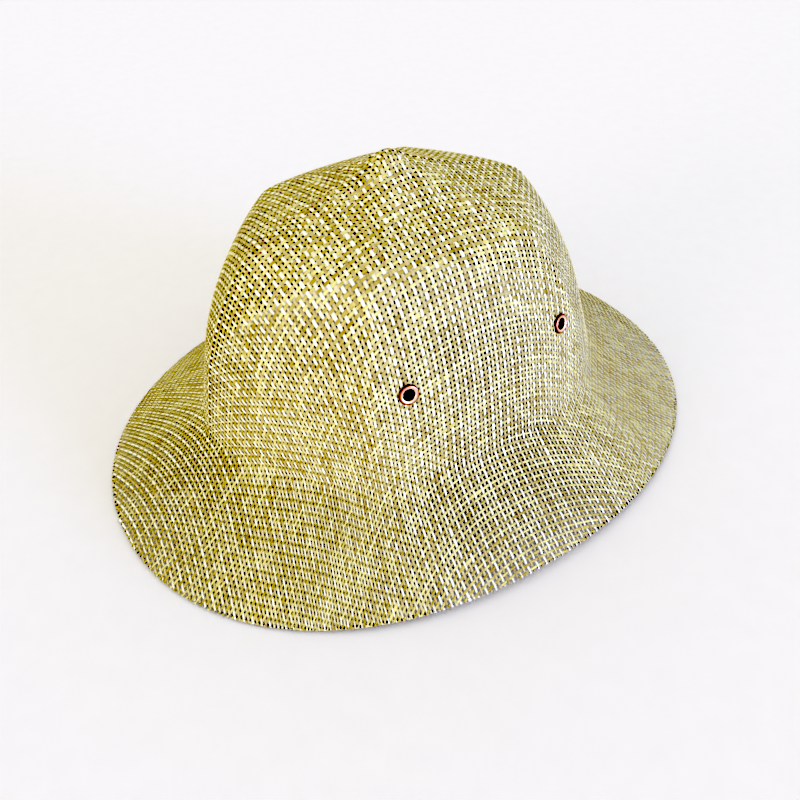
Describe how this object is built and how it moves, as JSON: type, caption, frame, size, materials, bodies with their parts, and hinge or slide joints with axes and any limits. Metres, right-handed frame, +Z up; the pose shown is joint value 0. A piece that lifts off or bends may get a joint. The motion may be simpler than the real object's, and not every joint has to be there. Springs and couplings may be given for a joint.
{
  "type": "beekeeping hat",
  "caption": "Ventilated beekeeping hat of woven straw: a hollow ridged crown with a small nub on top, a down-sloping oval brim, and rolled metal eyelets in the side panels.",
  "frame": {"origin": "middle of the rim's oval on the surface that the hat stands on", "axes": "+Z up through the crown, -Y towards the front, +X towards the wearer's left"},
  "size_m": [0.266, 0.344, 0.1632],
  "materials": {
    "straw": "open plain weave of natural and bleached straw",
    "eyelet_metal": "antique brass, rolled edges rubbed bright"
  },
  "bodies": {
    "root": {"hat_shell": "straw", "eyelet_right_front": "eyelet_metal", "eyelet_right_back": "eyelet_metal", "eyelet_left_front": "eyelet_metal", "eyelet_left_back": "eyelet_metal"}
  },
  "joints": []
}
